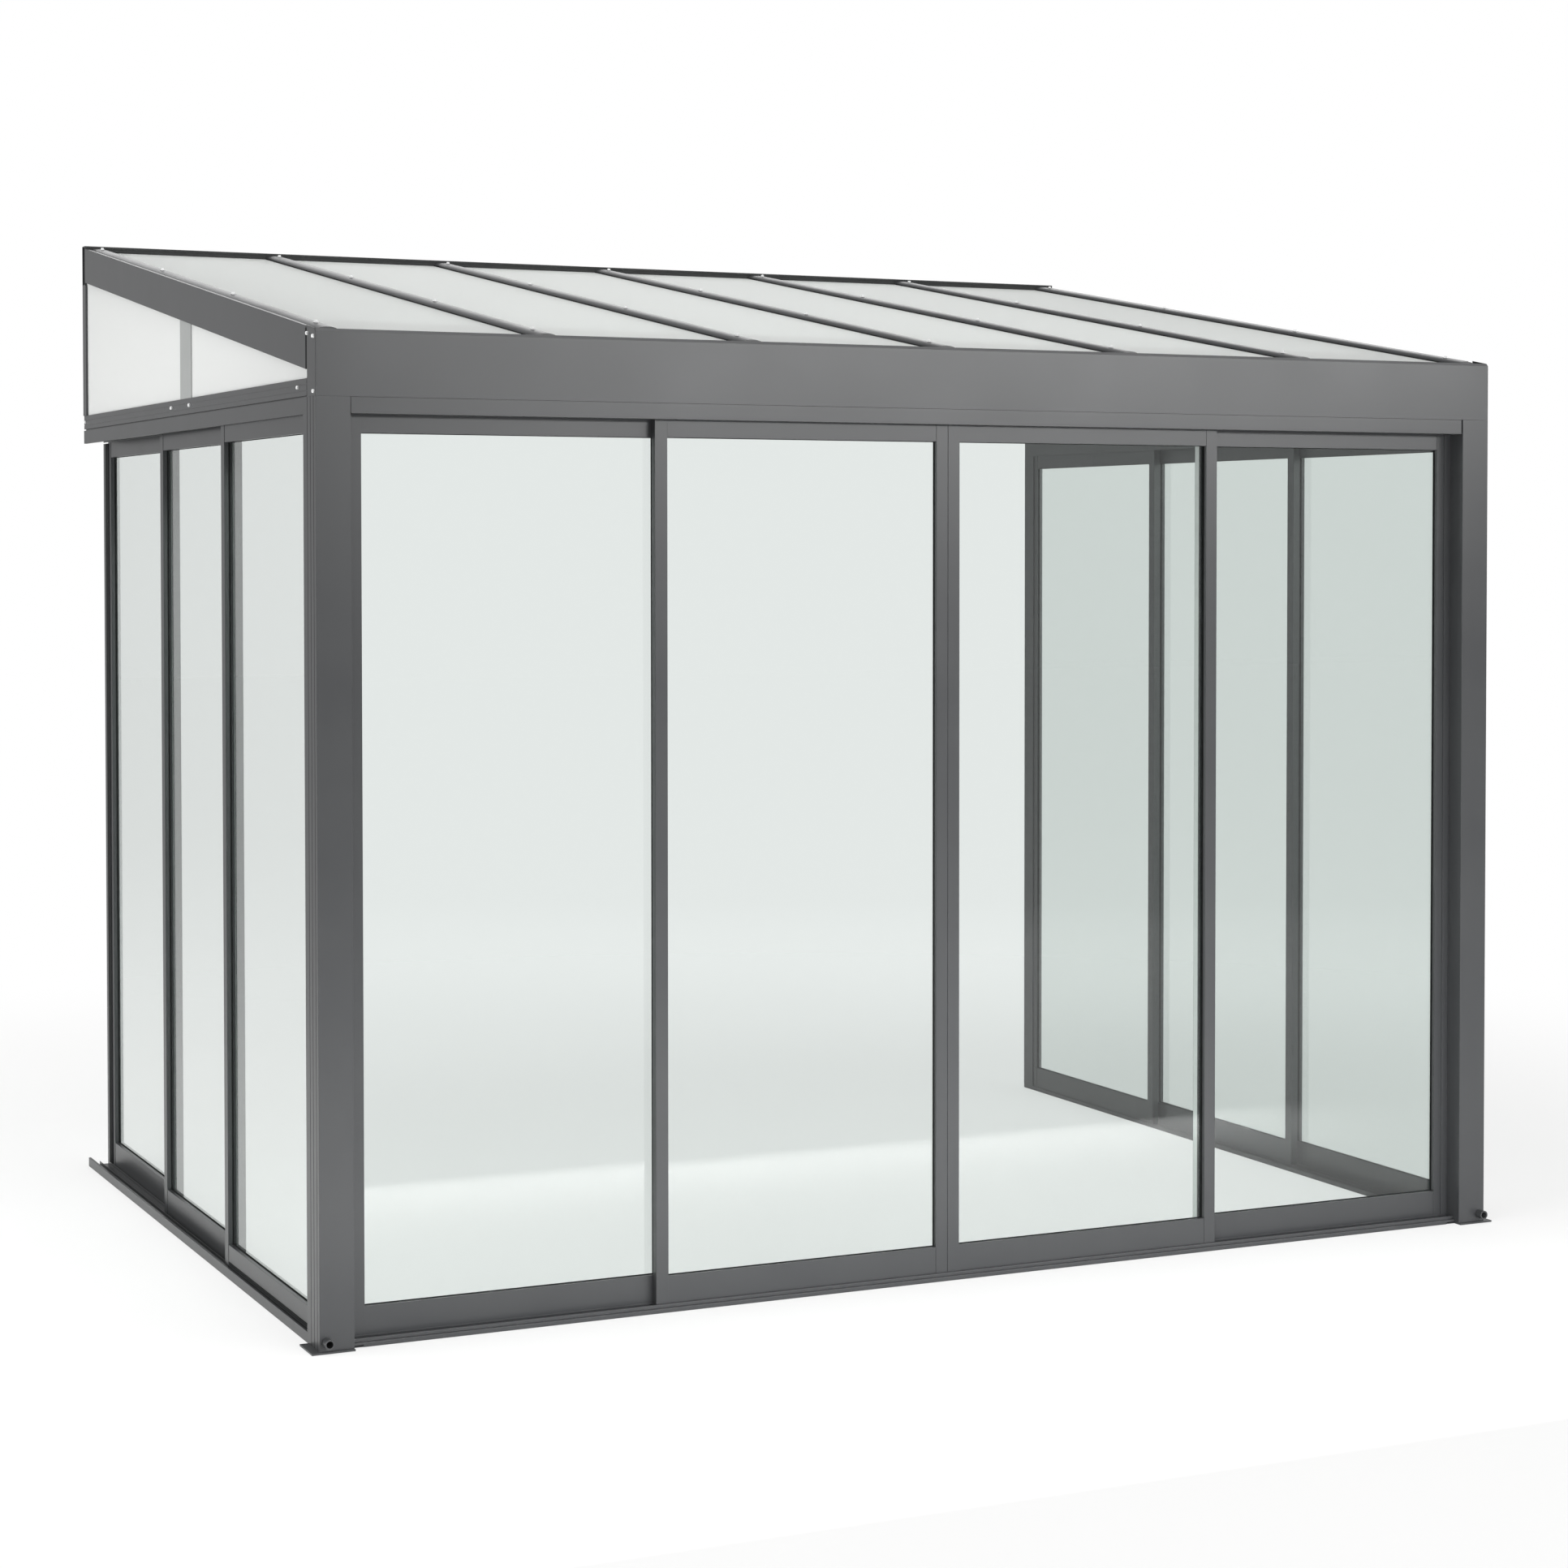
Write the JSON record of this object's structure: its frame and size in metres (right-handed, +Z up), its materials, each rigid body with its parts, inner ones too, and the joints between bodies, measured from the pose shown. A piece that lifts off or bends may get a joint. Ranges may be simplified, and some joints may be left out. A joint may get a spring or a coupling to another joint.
{
  "type": "lean-to conservatory",
  "caption": "Wall-mounted lean-to conservatory: coated aluminium frame, opal sloping roof, gutter beam on corner posts, and glazed sliding doors on the front and both sides.",
  "frame": {"origin": "middle of the footprint on the floor", "axes": "+Z up, +Y towards the house wall, +X to the right seen from the garden"},
  "size_m": [3.706, 2.763, 3.0586],
  "materials": {
    "coated_aluminium": "anthracite powder coat, satin",
    "door_glass": "clear, faint green-grey tint",
    "opal_sheet": "opal white twin-wall sheet",
    "grey_plastic": "mid-grey joining strip",
    "seal_rubber": "matt black seals and glides",
    "white_screws": "white coated screw heads"
  },
  "bodies": {
    "frame": {"drain_spouts": "coated_aluminium", "front_sill": "coated_aluminium", "front_top_track": "coated_aluminium", "gable_channels": "coated_aluminium", "gable_joiners": "grey_plastic", "gutter_beam": "coated_aluminium", "gutter_end_caps": "coated_aluminium", "inner_rafters": "coated_aluminium", "left_end_rafter": "coated_aluminium", "left_foot": "coated_aluminium", "left_gable_sheets": "opal_sheet", "left_header": "coated_aluminium", "left_post": "coated_aluminium", "left_post_jambs": "coated_aluminium", "left_sill": "coated_aluminium", "left_top_track": "coated_aluminium", "left_wall_jamb": "coated_aluminium", "rafter_cap_bars": "coated_aluminium", "right_end_rafter": "coated_aluminium", "right_foot": "coated_aluminium", "right_gable_sheets": "opal_sheet", "right_header": "coated_aluminium", "right_post": "coated_aluminium", "right_post_jambs": "coated_aluminium", "right_sill": "coated_aluminium", "right_top_track": "coated_aluminium", "right_wall_jamb": "coated_aluminium", "roof_sheets": "opal_sheet", "screws": "white_screws", "wall_plate": "coated_aluminium"},
    "front_door_1": {"front_door_1_frame": "coated_aluminium", "front_door_1_glass": "door_glass", "front_door_1_fittings": "seal_rubber"},
    "front_door_2": {"front_door_2_frame": "coated_aluminium", "front_door_2_glass": "door_glass", "front_door_2_fittings": "seal_rubber"},
    "front_door_3": {"front_door_3_frame": "coated_aluminium", "front_door_3_glass": "door_glass", "front_door_3_fittings": "seal_rubber"},
    "front_door_4": {"front_door_4_frame": "coated_aluminium", "front_door_4_glass": "door_glass", "front_door_4_fittings": "seal_rubber"},
    "left_door_front": {"left_door_front_frame": "coated_aluminium", "left_door_front_glass": "door_glass", "left_door_front_fittings": "seal_rubber"},
    "left_door_middle": {"left_door_middle_frame": "coated_aluminium", "left_door_middle_glass": "door_glass", "left_door_middle_fittings": "seal_rubber"},
    "left_door_rear": {"left_door_rear_frame": "coated_aluminium", "left_door_rear_glass": "door_glass", "left_door_rear_fittings": "seal_rubber"},
    "right_door_front": {"right_door_front_frame": "coated_aluminium", "right_door_front_glass": "door_glass", "right_door_front_fittings": "seal_rubber"},
    "right_door_middle": {"right_door_middle_frame": "coated_aluminium", "right_door_middle_glass": "door_glass", "right_door_middle_fittings": "seal_rubber"},
    "right_door_rear": {"right_door_rear_frame": "coated_aluminium", "right_door_rear_glass": "door_glass", "right_door_rear_fittings": "seal_rubber"}
  },
  "joints": [
    {"name": "front_door_1_slide", "type": "slide", "parent": "frame", "child": "front_door_1", "axis": [1, 0, 0], "range_m": [0, 0.838]},
    {"name": "front_door_2_slide", "type": "slide", "parent": "frame", "child": "front_door_2", "axis": [1, 0, 0], "range_m": [-0.838, 0]},
    {"name": "front_door_3_slide", "type": "slide", "parent": "frame", "child": "front_door_3", "axis": [1, 0, 0], "range_m": [0, 0.838]},
    {"name": "front_door_4_slide", "type": "slide", "parent": "frame", "child": "front_door_4", "axis": [1, 0, 0], "range_m": [-0.838, 0]},
    {"name": "left_door_front_slide", "type": "slide", "parent": "frame", "child": "left_door_front", "axis": [0, 1, 0], "range_m": [0, 1.678]},
    {"name": "left_door_middle_slide", "type": "slide", "parent": "frame", "child": "left_door_middle", "axis": [0, 1, 0], "range_m": [-0.839, 0.839]},
    {"name": "left_door_rear_slide", "type": "slide", "parent": "frame", "child": "left_door_rear", "axis": [0, 1, 0], "range_m": [-1.678, 0]},
    {"name": "right_door_front_slide", "type": "slide", "parent": "frame", "child": "right_door_front", "axis": [0, 1, 0], "range_m": [0, 1.678]},
    {"name": "right_door_middle_slide", "type": "slide", "parent": "frame", "child": "right_door_middle", "axis": [0, 1, 0], "range_m": [-0.839, 0.839]},
    {"name": "right_door_rear_slide", "type": "slide", "parent": "frame", "child": "right_door_rear", "axis": [0, 1, 0], "range_m": [-1.678, 0]}
  ]
}
